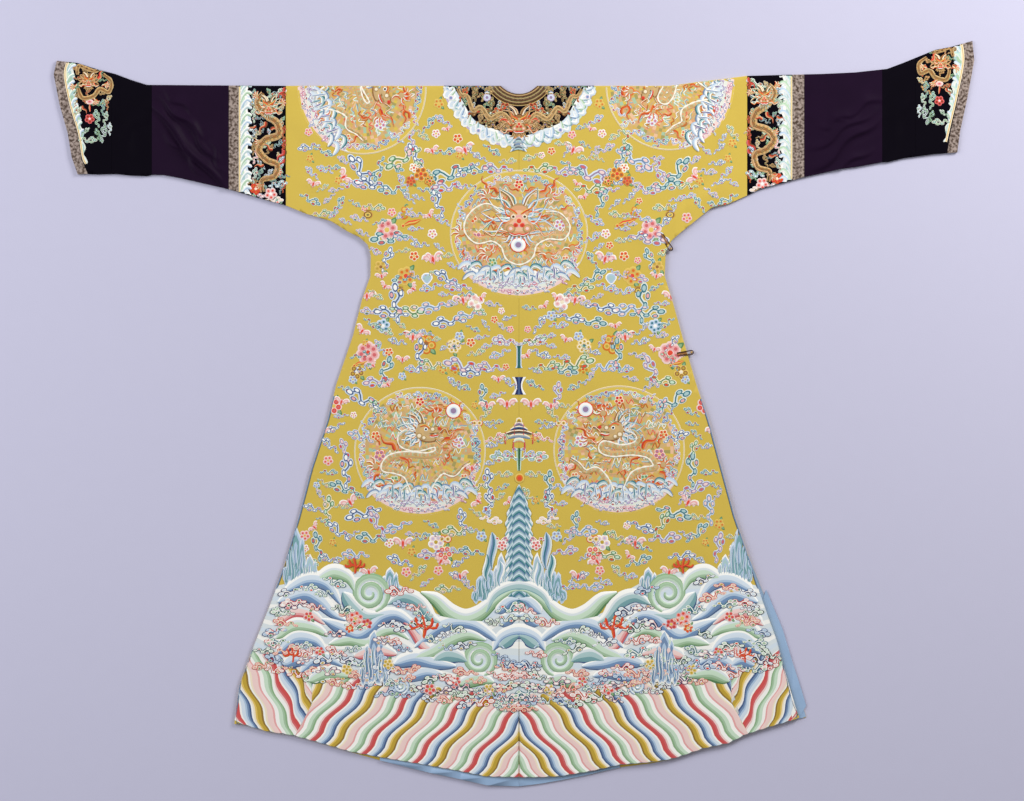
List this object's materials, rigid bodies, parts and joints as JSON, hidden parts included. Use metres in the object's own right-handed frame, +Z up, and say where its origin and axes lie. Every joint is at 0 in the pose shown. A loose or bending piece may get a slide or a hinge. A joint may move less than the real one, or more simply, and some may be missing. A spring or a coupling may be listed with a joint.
{
  "type": "chinese dragon robe, laid flat",
  "caption": "Full-length embroidered silk robe laid flat on its face: flared body, long sleeves with horseshoe cuffs, round collar facing, dragon roundels, wave and stripe border at the hem",
  "frame": {"origin": "On the surface the robe lies on, under the middle of its bounding box, which is on the left length beside the centre seam", "axes": "+Z up, away from the surface; +Y towards the collar; +X to the viewer's right, which is the wearer's right as the back is uppermost"},
  "size_m": [1.84, 1.4902, 0.0082],
  "materials": {
    "yellow_silk": "satin",
    "black_satin": "satin",
    "purple_satin": "satin",
    "brocade": "satin",
    "blue_lining": "satin",
    "brown_cord": "matt",
    "gilt_button": "satin"
  },
  "bodies": {
    "root": {"closure_button_lower": "gilt_button", "closure_button_upper": "gilt_button", "closure_loop_lower": "brown_cord", "closure_loop_upper": "brown_cord", "collar_facing_left": "black_satin", "collar_facing_right": "black_satin", "cuff_left": "black_satin", "cuff_right": "black_satin", "cuff_trim_left": "brocade", "cuff_trim_right": "brocade", "left_length": "yellow_silk", "lining_hem_left": "blue_lining", "lining_hem_right": "blue_lining", "lining_vent": "blue_lining", "neck_binding_left": "brocade", "neck_binding_right": "brocade", "overlap": "yellow_silk", "overlap_facing": "black_satin", "right_length": "yellow_silk", "sleeve_band_left": "black_satin", "sleeve_band_right": "black_satin", "sleeve_extension_left": "purple_satin", "sleeve_extension_right": "purple_satin", "sleeve_lower_left": "black_satin", "sleeve_lower_right": "black_satin", "sleeve_trim_left": "brocade", "sleeve_trim_right": "brocade"}
  },
  "joints": []
}
